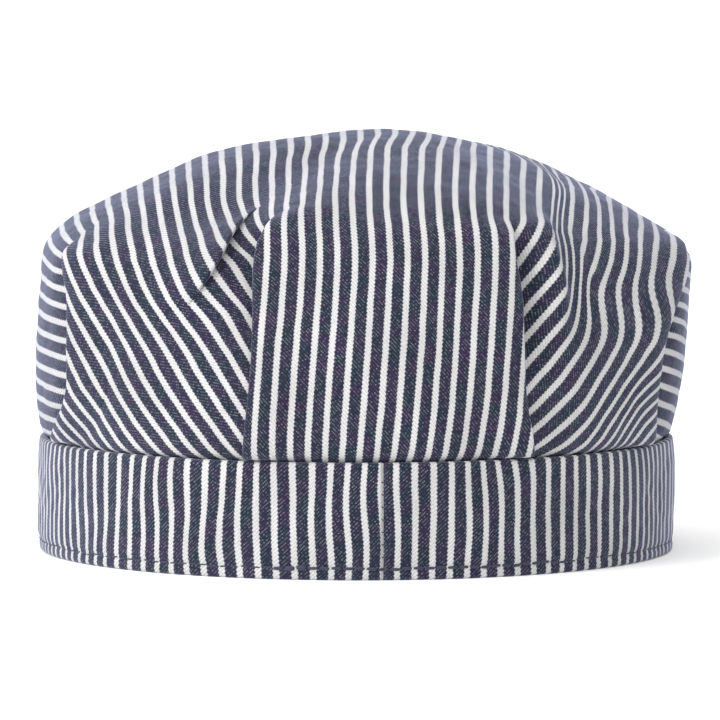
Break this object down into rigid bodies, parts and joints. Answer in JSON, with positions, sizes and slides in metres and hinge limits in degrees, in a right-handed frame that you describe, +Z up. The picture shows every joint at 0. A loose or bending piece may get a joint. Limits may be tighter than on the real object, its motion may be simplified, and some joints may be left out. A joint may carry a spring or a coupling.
{
  "type": "railroad engineer cap",
  "caption": "Soft striped cloth cap with a full pleated crown, an upright folded band and a crescent visor.",
  "frame": {"origin": "middle of the cap's outline seen from above, on the surface that the rim stands on", "axes": "+Z up, the visor toward -Y, the back seam toward +Y, +X toward the left of a viewer who stands behind the cap and looks at its back"},
  "size_m": [0.1862, 0.2552, 0.118],
  "materials": {
    "crown_cloth": "navy and white striped cotton twill, matte",
    "band_cloth": "navy and white striped cotton twill, matte, topstitched",
    "visor_cloth": "navy and white striped cotton twill over a stiff core, matte, stitched in rows"
  },
  "bodies": {
    "root": {"crown": "crown_cloth", "band": "band_cloth", "visor": "visor_cloth"}
  },
  "joints": []
}
